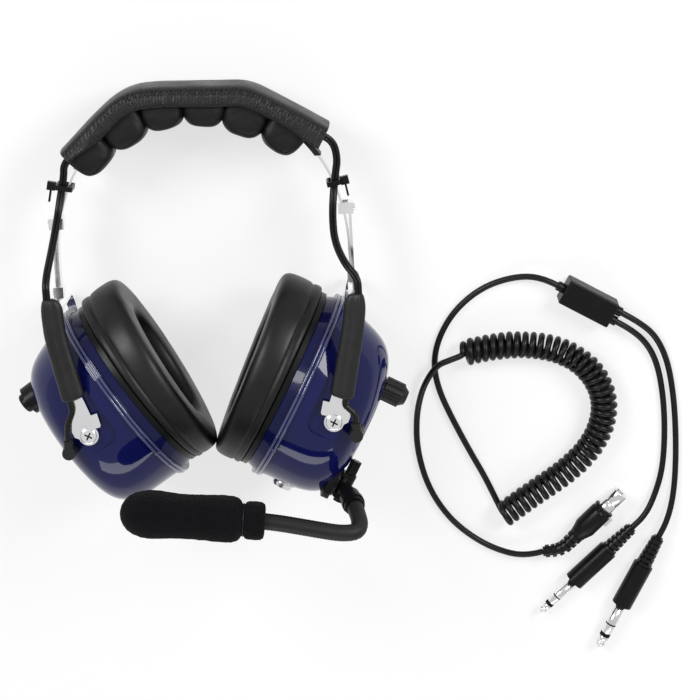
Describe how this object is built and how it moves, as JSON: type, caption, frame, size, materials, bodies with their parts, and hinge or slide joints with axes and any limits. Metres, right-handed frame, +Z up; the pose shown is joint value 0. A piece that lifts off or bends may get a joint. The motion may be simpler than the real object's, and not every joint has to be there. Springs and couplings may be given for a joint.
{
  "type": "aviation headset",
  "caption": "Over-ear aviation headset with sprung head band, stirrups, swinging ear cups, boom microphone and a coiled cord set with plugs.",
  "frame": {"origin": "centre of the headset's own box, on the surface it lies on; the loose cord set lies beside it and isn't counted", "axes": "+Z up from the surface, which is the headset's front as worn; +Y towards the crown of the head band; +X towards the wearer's left cup, with the boom"},
  "size_m": [0.3731, 0.3641, 0.1297],
  "materials": {
    "stainless": "satin",
    "chrome_plate": "polished",
    "navy_shell": "gloss",
    "black_leather": "grained",
    "seal_vinyl": "satin",
    "open_foam": "matt",
    "black_plastic": "satin",
    "black_rubber": "satin",
    "black_metal": "matt"
  },
  "bodies": {
    "head_frame": {"head_band": "stainless", "band_sheath": "black_leather", "band_clips": "chrome_plate", "pad_cover": "black_leather", "pad_cushion": "black_leather", "crossing_lead": "black_rubber", "zip_ties": "black_plastic", "lead_span_left": "black_rubber", "lead_span_right": "black_rubber"},
    "stirrup_left": {"stirrup_left": "chrome_plate", "tongue_clip_left": "chrome_plate", "cable_sleeve_left": "black_rubber", "lead_in_sleeve_left": "black_rubber", "lead_tail_left": "black_rubber"},
    "stirrup_right": {"stirrup_right": "chrome_plate", "tongue_clip_right": "chrome_plate", "cable_sleeve_right": "black_rubber", "lead_in_sleeve_right": "black_rubber", "lead_tail_right": "black_rubber"},
    "cup_left": {"outer_shell_left": "navy_shell", "inner_shell_left": "navy_shell", "seal_plate_left": "black_plastic", "ear_seal_left": "seal_vinyl", "ear_foam_left": "open_foam", "speaker_left": "black_plastic", "pivot_screws_left": "chrome_plate", "cable_boot_left": "black_rubber", "volume_pot": "black_plastic", "cord_jack": "chrome_plate", "boom_bracket": "black_plastic"},
    "cup_right": {"outer_shell_right": "navy_shell", "inner_shell_right": "navy_shell", "seal_plate_right": "black_plastic", "ear_seal_right": "seal_vinyl", "ear_foam_right": "open_foam", "speaker_right": "black_plastic", "pivot_screws_right": "chrome_plate", "cable_boot_right": "black_rubber", "push_button_base": "black_plastic"},
    "volume_knob": {"volume_knob": "black_plastic"},
    "push_button": {"push_button_cap": "black_plastic"},
    "boom_swivel": {"boom_swivel": "black_plastic"},
    "boom": {"boom_arm": "black_plastic", "gooseneck": "black_metal", "mic_housing": "black_plastic", "mic_muff": "open_foam"},
    "thumb_screw": {"thumb_screw": "black_plastic"},
    "cord_set": {"plug_shell": "black_plastic", "plug_boots": "black_rubber", "plug_barrels": "black_plastic", "mic_plug": "chrome_plate", "phone_plug": "chrome_plate", "junction_box": "black_plastic", "cord_lead_a": "black_rubber", "cord_lead_b": "black_rubber", "cord_lead_c": "black_rubber", "cord_lead_d": "black_rubber", "cord_coil": "black_rubber"},
    "plug_latch": {"plug_latch": "chrome_plate"}
  },
  "joints": [
    {"name": "stirrup_left_slide", "type": "slide", "parent": "head_frame", "child": "stirrup_left", "axis": [0, -0.9898, 0.1425], "range_m": [0, 0.03], "deforming": ["lead_span_left"]},
    {"name": "stirrup_right_slide", "type": "slide", "parent": "head_frame", "child": "stirrup_right", "axis": [0, -0.9898, 0.1425], "range_m": [0, 0.03], "deforming": ["lead_span_right"]},
    {"name": "cup_left_swing", "type": "hinge", "parent": "stirrup_left", "child": "cup_left", "pos_m": [0.06613, -0.06576, 0.05096], "axis": [0, 0.1425, 0.9898], "range_deg": [0, 35], "deforming": ["lead_tail_left"]},
    {"name": "cup_right_swing", "type": "hinge", "parent": "stirrup_right", "child": "cup_right", "pos_m": [-0.06687, -0.06576, 0.05096], "axis": [0, -0.1425, -0.9898], "range_deg": [0, 35], "deforming": ["lead_tail_right"]},
    {"name": "volume_turn", "type": "hinge", "parent": "cup_left", "child": "volume_knob", "pos_m": [0.08372, -0.05163, 0.04893], "axis": [0.8755, -0.4784, 0.0688], "range_deg": [-150, 150]},
    {"name": "button_press", "type": "slide", "parent": "cup_right", "child": "push_button", "axis": [0.8329, 0.5477, -0.0788], "range_m": [0, 0.0015], "stiffness_N_per_m": 600, "springref_m": -0.0015},
    {"name": "boom_swing", "type": "hinge", "parent": "cup_left", "child": "boom_swivel", "pos_m": [0.0648, -0.1029, 0.06843], "axis": [0.8755, -0.4784, 0.0688], "range_deg": [-20, 30]},
    {"name": "boom_tilt", "type": "hinge", "parent": "boom_swivel", "child": "boom", "pos_m": [0.06979, -0.10477, 0.07476], "axis": [0.4833, 0.8665, -0.1247], "range_deg": [-3, 30]},
    {"name": "thumb_screw_turn", "type": "hinge", "parent": "boom_swivel", "child": "thumb_screw", "pos_m": [0.06979, -0.10477, 0.07476], "axis": [0.4833, 0.8665, -0.1247], "range_deg": [-90, 180]},
    {"name": "cord_set_lift", "type": "slide", "parent": "head_frame", "child": "cord_set", "axis": [0, 0, 1], "range_m": [0, 0.2]},
    {"name": "latch_press", "type": "slide", "parent": "cord_set", "child": "plug_latch", "axis": [-0.6889, 0.7249, 0], "range_m": [0, 0.001], "stiffness_N_per_m": 500, "springref_m": -0.001}
  ]
}
